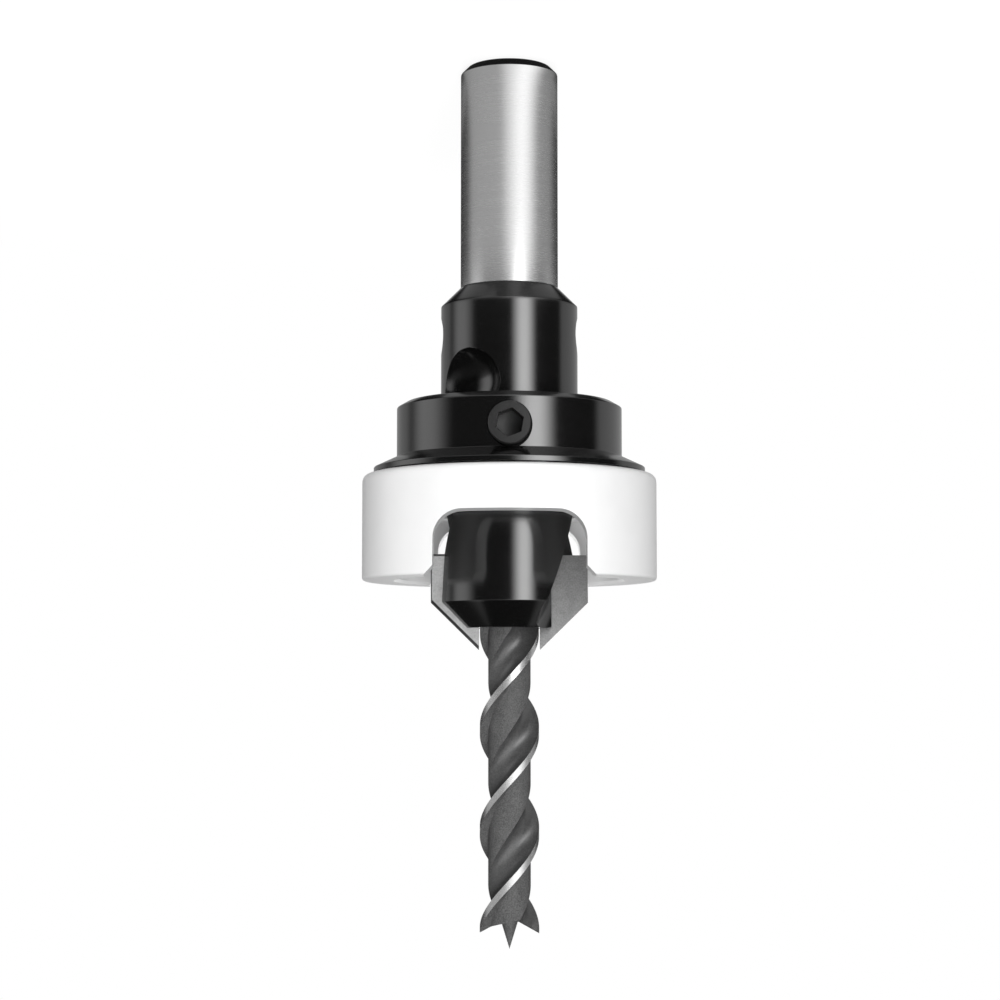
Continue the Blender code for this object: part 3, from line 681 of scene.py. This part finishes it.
def seat_cutter(side):
    """A cutter for a tip's seat: a block in the tip's frame, from the braze behind it to well before it."""
    inner, outer = FLUTE_FLOOR_RADIUS, TIP_RADIUS + 1
    foot, top = -TIP_LENGTH - BRAZE_GAP, NOSE_END - HEAD_CORNER + 1
    ends = []
    for y in (-TIP_THICKNESS - BRAZE_GAP, SEAT_FRONT):
        ends.append(np.array([(inner, y, foot), (outer, y, foot), (outer, y, top), (inner, y, top)]))
    return placed(prism("seat_cutter", ends[0], ends[1], []), tip_frame(side))


def across(direction, distance, height):
    """The frame of something that points straight out from the axis, with its Z outwards."""
    turn = Matrix.Rotation(math.radians(direction), 4, "Z")
    lay = Matrix.Rotation(math.radians(90), 4, "Y")
    return turn @ Matrix.Translation((distance, 0, height)) @ lay


def tapped_hole(direction, height, radius, pitch, inside, outside):
    """Two cutters for a tapped hole: a rod with a ring groove for each turn of the thread, and a cone for the
    broken edge at its mouth, which sits a little off the hole's middle."""
    depth = outside - inside
    turns = int((depth - HOLE_PLAIN_END) / pitch)
    rod = [(0, 0), (radius, 0)]
    for turn in range(turns):
        start, groove = turn * pitch, HOLE_GROOVE * pitch
        rod += [(radius, start + groove), (radius + groove, start + HOLE_GROOVE_FLOOR * pitch)]
    rod += [(radius, turns * pitch), (radius, depth + CUTTER_OVER), (0, depth + CUTTER_OVER)]
    wide = radius + HOLE_EDGE_BREAK
    cone = [(0, -wide), (wide, 0.0), (wide + CUTTER_OVER, CUTTER_OVER), (0, CUTTER_OVER)]
    hole = turned("hole_cutter", np.array(rod), HOLE_COLUMNS, [])
    mouth = turned("mouth_cutter", np.array(cone), HOLE_COLUMNS, [])
    off = Matrix.Translation((-HOLE_EDGE_BREAK, -HOLE_EDGE_BREAK, 0))
    placed(hole, across(direction, inside, height))
    placed(mouth, across(direction, outside, height) @ off)
    return [hole, mouth]


def tool_body(black, ground):
    """The fluted body less the tips' seats and the drill screws' holes. Its straight shank is bright."""
    grid = body_grid()
    columns = grid.shape[1]
    heights = grid[:, 0, 2]
    straight = np.abs(np.hypot(grid[:, 0, 0], grid[:, 0, 1]) - SHANK_RADIUS) < 0.02
    middle = (heights[:-1] + heights[1:]) / 2
    bright = straight[:-1] & straight[1:] & (middle > SHANK_CHAMFER) & (middle < SHANK_LENGTH)
    slots = np.repeat(bright.astype(int), columns)
    body = skinned("tool_body_skin", grid, [black, ground], slots, sharp=28.0)
    cutters = [seat_cutter(side) for side in (RIGHT, LEFT)]
    for side in (RIGHT, LEFT):
        cutters += tapped_hole(side, DRILL_SCREW_PLACE, **DRILL_HOLE)
    return without(body, cutters, sharp=28.0)


# Carbide tips


def tip_outline(depth):
    """Corners (x, y, z) of the tip at this depth behind the rake face, with its cutting edges set back for
    the clearance. Its arm reaches the nose of the body, which leans away from it towards the back."""
    lean = math.radians(TIP_AXIAL_RAKE)
    outer = TIP_RADIUS - depth * math.tan(math.radians(TIP_CLEARANCE_ANGLE))
    edge = TIP_RADIUS - depth * math.tan(math.radians(TIP_RELIEF_ANGLE)) * math.sqrt(2)
    nose = (NOSE_END - HEAD_CORNER - TIP_NOSE_GAP - depth * math.sin(lean)) / math.cos(lean)
    inner = FLUTE_FLOOR_RADIUS + BRAZE_GAP
    corners = [
        (outer, -TIP_LENGTH),
        (outer, edge - outer),
        (TIP_INNER_RADIUS, edge - TIP_INNER_RADIUS),
        (TIP_INNER_RADIUS, nose),
        (inner, nose),
        (inner, -TIP_LENGTH),
    ]
    return np.array([(x, -depth, z) for x, z in corners])


def carbide_tip(number, finishes):
    """A flat prism from the rake face to the smaller back face, with its edges just broken. The faces between
    the two get the near-black grey of the relief, which is painted shade."""
    tip = prism(f"carbide_tip_{number + 1}_skin", tip_outline(0.0), tip_outline(TIP_THICKNESS), finishes)
    for face in tip.data.polygons:
        face.material_index = TIP_RELIEF
        if abs(face.normal.y) > 0.7:
            face.material_index = TIP_RAKE if face.normal.y > 0 else TIP_BACK
    bevel = tip.modifiers.new("edge", "BEVEL")
    bevel.width = TIP_EDGE * MM
    bevel.segments = 2
    bevel.limit_method = "ANGLE"
    graph = bpy.context.evaluated_depsgraph_get()
    tip.data = bpy.data.meshes.new_from_object(tip.evaluated_get(graph))
    tip.modifiers.clear()
    return placed(tip, tip_frame((RIGHT, LEFT)[number]))


# Drill


def drill_section():
    """One half of the section as radius and angle behind the cutting edge: the margin, the step down to the
    land, the land, and an arc of a circle for the flute."""
    land_start = DRILL_MARGIN_ANGLE + DRILL_STEP_ANGLE
    margin = np.linspace(0.0, DRILL_MARGIN_ANGLE, 7)
    step = np.linspace(DRILL_MARGIN_ANGLE, land_start, 6)[1:-1]
    fall = (step - DRILL_MARGIN_ANGLE) / DRILL_STEP_ANGLE
    land = np.linspace(land_start, DRILL_LAND_END, 24)
    low = np.array(polar(DRILL_LAND_RADIUS, DRILL_LAND_END))
    high = np.array(polar(DRILL_RADIUS, 180.0))
    chord = high - low
    out = np.array([chord[1], -chord[0]]) / np.linalg.norm(chord)
    centre = (low + high) / 2 + out * math.sqrt(DRILL_FLUTE_ARC_RADIUS**2 - chord @ chord / 4)
    first, last = (math.degrees(math.atan2(*(end - centre)[::-1])) for end in (low, high))
    sweep = (last - first + 180) % 360 - 180
    angles = first + sweep * np.linspace(0, 1, 27)[1:-1]
    x, y = polar(DRILL_FLUTE_ARC_RADIUS, angles)
    x, y = x + centre[0], y + centre[1]
    radius = np.concatenate(
        [
            np.full(len(margin), DRILL_RADIUS),
            DRILL_RADIUS + (DRILL_LAND_RADIUS - DRILL_RADIUS) * fall,
            np.full(len(land), DRILL_LAND_RADIUS),
            np.hypot(x, y),
        ]
    )
    behind = np.concatenate([margin, step, land, np.degrees(np.arctan2(y, x)) % 360])
    return radius, behind


def lip_height(radius, behind):
    """Height of the drill's end: a centre point, then lips that rise to the spurs and fall away behind."""
    share = (radius - DRILL_POINT_RADIUS) / (DRILL_RADIUS - DRILL_POINT_RADIUS)
    lip = DRILL_POINT - DRILL_VALLEY_DROP + (DRILL_VALLEY_DROP - DRILL_SPUR_DROP) * share
    back = DRILL_LAND_END * (180.0 - behind) / DRILL_FLUTE_ANGLE
    fall = np.where(behind <= DRILL_LAND_END, behind, back)
    slope = math.tan(math.radians(DRILL_LIP_RELIEF))
    return lip - (radius - DRILL_POINT_RADIUS) * np.radians(fall) * slope


def drill(finishes):
    """The section twisted along a right-hand helix: angle = phase + side - behind + 360 z / lead. Its depth
    grows along a smooth step over the run-out, from none at the plain shank."""
    radius, behind = drill_section()
    radius, behind, side = np.tile(radius, 2), np.tile(behind, 2), np.repeat([RIGHT, LEFT], len(behind))
    count = len(radius)
    tops = lip_height(radius, behind)
    fluted = DRILL_POINT - DRILL_FLUTED_LENGTH
    phase = RIGHT + DRILL_MARGIN_ANGLE / 2 - 360.0 * (DRILL_POINT - DRILL_SPUR_DROP) / DRILL_LEAD

    def ring(radii, levels, heights):
        """Points with these radii and heights, twisted as the helix is at these levels."""
        x, y = polar(radii, phase + side - behind + 360.0 * levels / DRILL_LEAD)
        return np.stack([x, y, np.broadcast_to(heights, x.shape)], axis=-1)

    plain = [
        (0.0, DRILL_REAR),
        (DRILL_RADIUS - DRILL_REAR_CHAMFER, DRILL_REAR),
        (DRILL_RADIUS, DRILL_REAR + DRILL_REAR_CHAMFER),
        (DRILL_RADIUS, DRILL_SHANK_ROW),
    ]
    shank = [ring(np.full(count, r), np.full(count, fluted), h)[None] for r, h in plain]
    share = np.linspace(0, 1, DRILL_HELIX_ROWS)[:, None]
    heights = fluted + (tops - fluted) * share
    along = np.minimum(1.0, (heights[:, :1] - fluted) / DRILL_RUNOUT)
    depth = along**2 * (3 - 2 * along)
    helix = ring(DRILL_RADIUS + (radius - DRILL_RADIUS) * depth, heights, heights)
    foot = np.full(count, DRILL_POINT_RADIUS)
    point = [ring(foot, tops, lip_height(foot, behind))[None]]
    for shrink in DRILL_POINT_ROWS:
        point.append(ring(foot * shrink, tops, DRILL_POINT - DRILL_VALLEY_DROP * shrink)[None])
    grid = np.concatenate(shank + [helix] + point)
    on_margin, in_flute = behind < DRILL_MARGIN_ANGLE - 0.01, behind >= DRILL_LAND_END - 0.01
    slots = np.full((len(grid) - 1, count), DRILL_LAND)
    slots[: len(shank)] = DRILL_MARGIN
    along_helix = slice(len(shank), len(shank) + len(helix) - 1)
    slots[along_helix] = np.select([on_margin, in_flute], [DRILL_MARGIN, DRILL_FLUTE], DRILL_LAND)
    return skinned("drill_bit_skin", grid, finishes, slots.reshape(-1), sharp=32.0)


# Screws


def grub_screw(name, finishes, radius, length, socket, pitch, turn):
    """A headless screw from its inner end: a cup, a helical thread, a chamfer and a hexagon socket.
    The thread is a ridge whose height is a triangle wave of height / pitch - angle / 360, and the hexagon's
    radius is half the socket / cos of the angle from the nearest flat."""
    angle = np.linspace(0, 360, SCREW_COLUMNS, endpoint=False)
    start, end = THREAD_START, length - THREAD_END
    rows = np.linspace(start, end, max(24, int(14 * length / pitch)))
    wave = np.abs((rows[:, None] / pitch - angle[None] / 360.0) % 1.0 - 0.5) * 2
    fade = np.clip(np.minimum(rows - start, end - rows) / THREAD_FADE, 0, 1)[:, None]
    thread = radius - THREAD_DEPTH * pitch * np.clip(wave * 1.25 - 0.12, 0, 1) * fade
    corner = socket / 2 / np.cos(np.radians((angle - turn) % 60 - 30))
    floor = length * 0.5
    cone, cone_slope = floor - 0.01, 0.13
    cup = [(0.0, 0.5), (0.45 * radius, 0.25), (0.62 * radius, 0.0), (radius - THREAD_START, 0.0)]
    head = [
        (radius, length - SCREW_CHAMFER),
        (radius - SCREW_CHAMFER, length),
        (corner + 0.02, length),
        (corner, length - 0.03),
        (corner, (length + floor) / 2),
        (corner, floor),
        (0.47 * socket, cone),
        (0.3 * socket, cone - 0.17 * socket * cone_slope),
        (0.0, cone - 0.47 * socket * cone_slope),
    ]
    cup_radii = [np.full(SCREW_COLUMNS, r) for r, _ in cup]
    head_radii = [np.broadcast_to(r, SCREW_COLUMNS) for r, _ in head]
    radii = np.vstack(cup_radii + [thread] + head_radii)
    heights = np.concatenate([[h for _, h in cup], rows, [h for _, h in head]])
    x, y = polar(radii, angle[None])
    grid = np.stack([x, y, np.broadcast_to(heights[:, None], x.shape)], axis=-1)
    return skinned(name, grid, finishes, sharp=32.0)


# Collar


def stop_collar(finishes):
    """A turned collar less the hole of its screw. Its profile goes round from the bore's lower edge: the
    outside, the flange that covers the ring, the bearing's seat, the sleeve inside it, and the bore."""
    profile = rounded(
        [
            (COLLAR_BORE_RADIUS + 0.3, 0, 0.05),
            (10.5, 0, 0.1),
            (COLLAR_RADIUS, 0.58, 0.1),
            (COLLAR_RADIUS, 5.6, 0.06),
            (13.85, 6.7, 0.08),
            (13.85, 7.24, 0.06),
            (11.9, 7.24, 0.04),
            (11.9, 6.44, 0.04),
            (9.3, 6.44, 0.04),
            (9.3, 6.79, 0.04),
            (8.45, 6.79, 0.04),
            (8.45, 10.49, 0.04),
            (8.15, 10.79, 0.04),
            (COLLAR_BORE_RADIUS + 0.3, 10.79, 0.04),
            (COLLAR_BORE_RADIUS, 10.49, 0.04),
            (COLLAR_BORE_RADIUS, 0.3, 0.04),
        ]
    )
    profile[:, 1] += COLLAR_PLACE
    collar = turned("stop_collar_skin", profile, 192, finishes, loop=True, sharp=28.0)
    return without(collar, tapped_hole(FRONT, COLLAR_SCREW_PLACE, **COLLAR_HOLE), sharp=28.0)


# Ring


def window_outline():
    """Corners (x, z) of a window: two quarter circles at its floor, straight sides and a splayed mouth."""
    middle = WINDOW_FLOOR + WINDOW_CORNER_RADIUS
    outline = []
    for side, start in ((-1, 180), (1, 270)):
        turn = np.radians(np.linspace(start, start + 90, 17))
        x = side * (WINDOW_HALF_WIDTH - WINDOW_CORNER_RADIUS) + WINDOW_CORNER_RADIUS * np.cos(turn)
        outline.append(np.stack([x, middle + WINDOW_CORNER_RADIUS * np.sin(turn)], axis=1))
    wide, top = WINDOW_HALF_WIDTH + WINDOW_SPLAY, WINDOW_SPLAY_START + WINDOW_SPLAY
    right = [(WINDOW_HALF_WIDTH, WINDOW_SPLAY_START), (wide, top)]
    left = [(-wide, top), (-WINDOW_HALF_WIDTH, WINDOW_SPLAY_START)]
    return np.vstack(outline + [np.array(right + left)]) + (0, RING_PLACE)


def stop_ring(finishes):
    """A turned ring with a web that rests on the bearing. One prism along Y cuts both of its windows."""
    profile = rounded(
        [
            (11.85, 0, 0.03),
            (RING_RADIUS, 0, 0.9),
            (RING_RADIUS, RING_HEIGHT, 0.4),
            (11.8, RING_HEIGHT, 0.05),
            (11.5, RING_HEIGHT - 0.3, 0.05),
            (11.5, RING_WEB_END, 0.12),
            (7.5, RING_WEB_END, 0.1),
            (7.5, RING_WEB_START, 0.05),
            (11.55, RING_WEB_START, 0.05),
            (11.55, 0.3, 0.05),
        ],
        steps=9,
    )
    profile[:, 1] += RING_PLACE
    ring = turned("stop_ring_skin", profile, 240, finishes, loop=True, sharp=28.0)
    x, z = window_outline().T
    ends = [np.stack([x, np.full(len(x), y), z], axis=1) for y in (-RING_RADIUS - 1, RING_RADIUS + 1)]
    return without(ring, [prism("window_cutter", ends[0], ends[1], [])], sharp=28.0)


def build_pieces():
    """Every piece on its body. The bearing keeps its CAD shapes and gets its finishes alone."""
    black, ground, white = black_steel(), ground_steel(), white_plastic()
    screw = screw_black()
    # The rake faces get a darker copy of the carbide than the back faces: painted shade.
    # The relief faces get near-black carbide: painted shade.
    tips = [carbide("carbide", 0.36, 0.56), shaded_relief_carbide(), carbide("carbide_rake_painted_shade", 0.2, 0.34)]
    land = drill_grey("drill_steel", 0.055, 0.14, 0.6, 0.3)
    flute = drill_grey("drill_flute", 0.035, 0.085, 0.34, 1.0)
    on_frame(tool_body(black, ground), "tool", "blackened_steel", "tool_body")
    for number in range(2):
        on_frame(carbide_tip(number, tips), "tool", "carbide", f"carbide_tip_{number + 1}")
    for number, side in enumerate((RIGHT, LEFT)):
        name = f"drill_clamp_screw_{number + 1}"
        made = grub_screw(name + "_skin", [screw], **DRILL_SCREW)
        made = placed(made, across(side, DRILL_SCREW_INNER_END, DRILL_SCREW_PLACE))
        on_frame(made, "tool", "screw_steel", name)
    on_frame(drill([land, margin_steel(), flute]), "drill", "drill_steel", "drill_bit")
    on_frame(stop_collar([black]), "collar", "blackened_steel", "stop_collar")
    made = grub_screw("collar_clamp_screw_skin", [screw], **COLLAR_SCREW)
    made = placed(made, across(FRONT, COLLAR_BORE_RADIUS, COLLAR_SCREW_PLACE))
    on_frame(made, "collar", "screw_steel", "collar_clamp_screw")
    on_frame(stop_ring([white]), "ring", "white_plastic", "stop_ring")
    steel, cage = bearing_steel(), cage_plastic()
    for name, node in frame["nodes"].items():
        if name.startswith("bearing_"):
            node.data.materials.clear()
            node.data.materials.append(cage if name == "bearing_cage" else steel)


# Stage, light and camera


def cleared(made):
    """Empties a material's or a world's nodes. Gives a Shade to build on."""
    made.use_nodes = True
    made.node_tree.nodes.clear()
    return Shade(made.node_tree)


def shown(shade, output):
    """Makes the shade the surface of a new output node of this type."""
    feed(shade, shade.tree.nodes.new(output), "Surface")


def floor_white():
    """White to the camera and in reflections. Near the tool a share of it is matt and takes the shadow."""
    made = bpy.data.materials.new("floor_white")
    nodes = cleared(made)
    matt = nodes.node("ShaderNodeBsdfDiffuse", None, {"Color": (0.9, 0.9, 0.9, 1)})
    near = smooth_step(nodes, from_origin(nodes), *FLOOR_NEAR, 1.0, 0.0)
    strength = near * FLOOR_MAKE_UP + 1.0
    glow = nodes.node("ShaderNodeEmission", None, {"Color": (1, 1, 1, 1), "Strength": strength})
    bright = seen_or_mirrored(nodes) * (1.0 - near * FLOOR_SHADOW)
    shown(nodes.node("ShaderNodeMixShader", None, {0: bright, 1: matt, 2: glow}), "ShaderNodeOutputMaterial")
    return made


def seen_or_mirrored(nodes):
    """1 for what the camera sees, directly, in a reflection or through glass."""
    seen = nodes.node("ShaderNodeLightPath", output="Is Camera Ray")
    glossy = nodes.node("ShaderNodeLightPath", output="Is Glossy Ray")
    through = nodes.node("ShaderNodeLightPath", output="Is Transmission Ray")
    return seen + glossy + through


def floor():
    """A wide flat floor under the tool."""
    mesh = bpy.data.meshes.new("floor")
    reach = FLOOR_REACH
    corners = [(-reach, -reach, 0), (reach, -reach, 0), (reach, reach, 0), (-reach, reach, 0)]
    mesh.from_pydata(corners, [], [(0, 1, 2, 3)])
    mesh.materials.append(floor_white())
    added("floor", mesh)


def world():
    """White behind everything, and a soft even light on the object."""
    made = bpy.data.worlds.new("studio")
    bpy.context.scene.world = made
    nodes = cleared(made)
    white = seen_or_mirrored(nodes)
    strength = white + (1.0 - white) * ROOM_SOFT
    back = nodes.node("ShaderNodeBackground", None, {"Color": (1, 1, 1, 1), "Strength": strength})
    shown(back, "ShaderNodeOutputWorld")


def glowing(name, colour, strength):
    """A card's finish: light alone, with the colour and the strength that these two functions give."""
    made = bpy.data.materials.new(name)
    nodes = cleared(made)
    inputs = {"Color": colour(nodes), "Strength": strength(nodes)}
    shown(nodes.node("ShaderNodeEmission", None, inputs), "ShaderNodeOutputMaterial")
    return made


def along_axis(nodes, axis):
    """X, Y or Z of the place, in metres."""
    place = nodes.node("ShaderNodeTexCoord", output="Object")
    return nodes.node("ShaderNodeSeparateXYZ", None, {0: place}, output=axis)


def from_origin(nodes):
    """Distance of the place from the middle of the shank's end face, in metres."""
    place = nodes.node("ShaderNodeTexCoord", output="Object")
    return nodes.node("ShaderNodeVectorMath", {"operation": "LENGTH"}, {0: place}, output="Value")


def turn_from_camera(nodes):
    """Angle from the camera towards the picture's right, as a share of a whole turn."""
    return nodes.sum("ARCTAN2", along_axis(nodes, "X") * -1.0, along_axis(nodes, "Y") * -1.0) / (2 * math.pi)


def lit_by(nodes, cards):
    """The cards' brightness by the angle round the axis: full in a card's middle, with soft edges."""
    total = TENT_DARK
    turn = turn_from_camera(nodes)
    for middle, half, soft, level in cards:
        away = nodes.sum("PINGPONG", turn - middle / 360.0, 0.5)
        inner, outer = (half - soft / 2) / 360.0, (half + soft / 2) / 360.0
        total = smooth_step(nodes, away, inner, outer, level, 0.0) + total
    return total


def rise(nodes, value, start, end):
    """0 below the start and 1 above the end, both in millimetres."""
    return smooth_step(nodes, value, start * MM, end * MM)


def painted_wall(nodes):
    """The body's cards at the height of the body, and the shank's beside the shank and the drill."""
    z = along_axis(nodes, "Z")
    body = rise(nodes, z, *TENT_BODY_START) * (1.0 - rise(nodes, z, *TENT_BODY_END))
    return lit_by(nodes, CARDS_BY_SHANK) * (1.0 - body) + lit_by(nodes, CARDS_BY_BODY) * body


def wall_strength(nodes):
    """Full brightness on the wall, fading to none at the top."""
    return 1.0 - rise(nodes, along_axis(nodes, "Z"), *TENT_FADE)


def painted_base(nodes):
    """Grey by the distance from the axis beside the shank and behind the tool, and elsewhere the shank's
    cards."""
    away = from_origin(nodes)
    stops = [(distance / TENT_RADIUS, level) for distance, level in TENT_BASE]
    near = nodes.node("ShaderNodeValToRGB", {"stops": stops}, {0: away / (TENT_RADIUS * MM)})
    past_edge = nodes.sum("ABSOLUTE", turn_from_camera(nodes)) * 360.0 - away * (TENT_BACK_EDGE_PER_MM / MM)
    behind = contrasted(nodes, past_edge, *TENT_BACK_EDGE)
    by_shank = 1.0 - rise(nodes, away, *TENT_BASE_END)
    share = nodes.sum("MAXIMUM", behind, by_shank)
    return lit_by(nodes, CARDS_BY_SHANK) * (1.0 - share) + near * share


def tent():
    """A tall card round the tool and a grey one on the floor, which show only in polished surfaces."""
    wall = np.array([(TENT_RADIUS, 0.0), (TENT_RADIUS, TENT_HEIGHT), (0.0, TENT_HEIGHT)])
    base = np.array([(TENT_BASE[0][0], TENT_BASE_HEIGHT), (TENT_RADIUS, TENT_BASE_HEIGHT)])
    light = glowing("tent_wall", painted_wall, wall_strength)
    grey = glowing("tent_base", painted_base, lambda nodes: 1.0)
    for name, profile, made in (("tent_wall", wall, light), ("tent_base", base, grey)):
        card = turned(name, filled(profile, TENT_STEP), TENT_COLUMNS, [made])
        for ray in ("camera", "diffuse", "shadow", "transmission"):
            setattr(card, "visible_" + ray, False)


def lamps():
    """Soft square lamps that light the surfaces. Polished ones show the tent instead of them."""
    for name, side, height, distance, width, power in LAMPS:
        lamp = bpy.data.lights.new(name, "AREA")
        lamp.shape = "SQUARE"
        lamp.size = width
        lamp.energy = power
        holder = added(name, lamp)
        angle = math.radians(FRONT - side)
        place = Vector((distance * math.cos(angle), distance * math.sin(angle), height))
        holder.location = place
        holder.rotation_euler = (place - Vector((0, 0, LAMP_AIM))).to_track_quat("Z", "Y").to_euler()
        holder.visible_glossy = False
        holder.visible_camera = False


def camera():
    """Turned half round about its own axis, because the picture shows the tool with its point down."""
    dip = math.radians(CAMERA_DIP)
    view = bpy.data.cameras.new("camera")
    view.lens = CAMERA_LENS
    view.sensor_width = CAMERA_SENSOR
    view.clip_start = CAMERA_NEAR
    holder = added("camera", view)
    right = (-1.0, 0.0, 0.0)
    up = (0.0, -math.sin(dip), -math.cos(dip))
    back = (0.0, -math.cos(dip), math.sin(dip))
    columns = zip(right, up, back, CAMERA_PLACE)
    holder.matrix_world = Matrix([*columns, (0, 0, 0, 1)])
    bpy.context.scene.camera = holder


def settings():
    """Colours as they are written."""
    bpy.context.scene.view_settings.view_transform = "Standard"


camera()
world()
lamps()
floor()
tent()
build_pieces()
settings()
